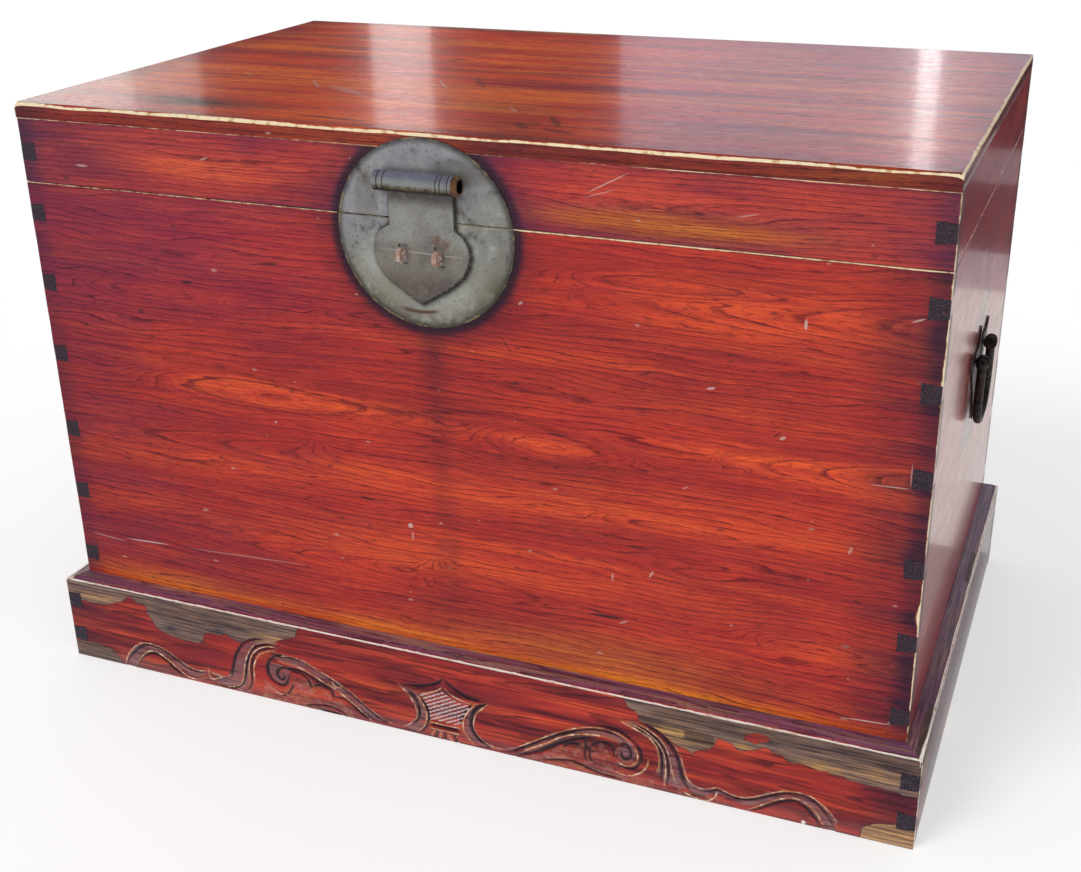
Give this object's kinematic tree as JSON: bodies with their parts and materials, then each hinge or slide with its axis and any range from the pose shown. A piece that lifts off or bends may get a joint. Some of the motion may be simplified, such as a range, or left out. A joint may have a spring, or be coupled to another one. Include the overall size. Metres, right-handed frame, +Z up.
{
  "type": "wooden chest",
  "caption": "Dovetailed lacquered wooden trunk on a carved plinth, with a hinged lid, a round lock plate with a hasp for a padlock, and drop handles on both ends.",
  "frame": {"origin": "middle of the plinth's footprint, on the floor", "axes": "+X to the right along the front, -Y out of the front face, +Z up"},
  "size_m": [0.986, 0.628, 0.6545],
  "materials": {
    "lacquered_wood": "gloss red-brown lacquer over dark-grained wood, worn pale at the edges",
    "plain_wood": "bare, dull, aged wood",
    "patina_plate": "dull grey-green patina",
    "aged_iron": "dark, rubbed bronze-brown"
  },
  "bodies": {
    "chest": {"base_front_rail": "lacquered_wood", "base_back_rail": "lacquered_wood", "base_left_rail": "lacquered_wood", "base_right_rail": "lacquered_wood", "body_front_board": "lacquered_wood", "body_back_board": "lacquered_wood", "body_left_board": "lacquered_wood", "body_right_board": "lacquered_wood", "base_front_ledger": "plain_wood", "base_back_ledger": "plain_wood", "base_left_ledger": "plain_wood", "base_right_ledger": "plain_wood", "floor_front_board": "plain_wood", "floor_middle_board": "plain_wood", "floor_back_board": "plain_wood", "lock_plate_lower": "patina_plate", "hasp_left_staple": "aged_iron", "hasp_right_staple": "aged_iron", "right_handle_plate": "aged_iron", "right_handle_front_post": "aged_iron", "right_handle_back_post": "aged_iron", "left_handle_plate": "aged_iron", "left_handle_front_post": "aged_iron", "left_handle_back_post": "aged_iron", "left_hinge_body_leaf": "aged_iron", "left_hinge_pin": "aged_iron", "right_hinge_body_leaf": "aged_iron", "right_hinge_pin": "aged_iron", "hinge_body_nails": "aged_iron"},
    "lid": {"lid_front_rail": "lacquered_wood", "lid_back_rail": "lacquered_wood", "lid_left_rail": "lacquered_wood", "lid_right_rail": "lacquered_wood", "lid_top_board": "lacquered_wood", "lock_plate_upper": "patina_plate", "hasp_hinge_left_eye": "aged_iron", "hasp_hinge_right_eye": "aged_iron", "hasp_hinge_pin": "aged_iron", "left_hinge_lid_leaf": "aged_iron", "right_hinge_lid_leaf": "aged_iron", "hinge_lid_nails": "aged_iron"},
    "hasp": {"hasp": "patina_plate"},
    "right_bail": {"right_bail": "aged_iron"},
    "left_bail": {"left_bail": "aged_iron"}
  },
  "joints": [
    {"name": "lid_hinge", "type": "hinge", "parent": "chest", "child": "lid", "pos_m": [0, 0.3104, 0.572], "axis": [-1, 0, 0], "range_deg": [0, 100]},
    {"name": "hasp_hinge", "type": "hinge", "parent": "lid", "child": "hasp", "pos_m": [-0.0126, -0.3044, 0.61], "axis": [-1, 0, 0], "range_deg": [0, 150]},
    {"name": "right_bail_hinge", "type": "hinge", "parent": "chest", "child": "right_bail", "pos_m": [0.484, 0.007, 0.397], "axis": [0, -1, 0], "range_deg": [0, 170]},
    {"name": "left_bail_hinge", "type": "hinge", "parent": "chest", "child": "left_bail", "pos_m": [-0.484, 0.007, 0.397], "axis": [0, 1, 0], "range_deg": [0, 170]}
  ]
}
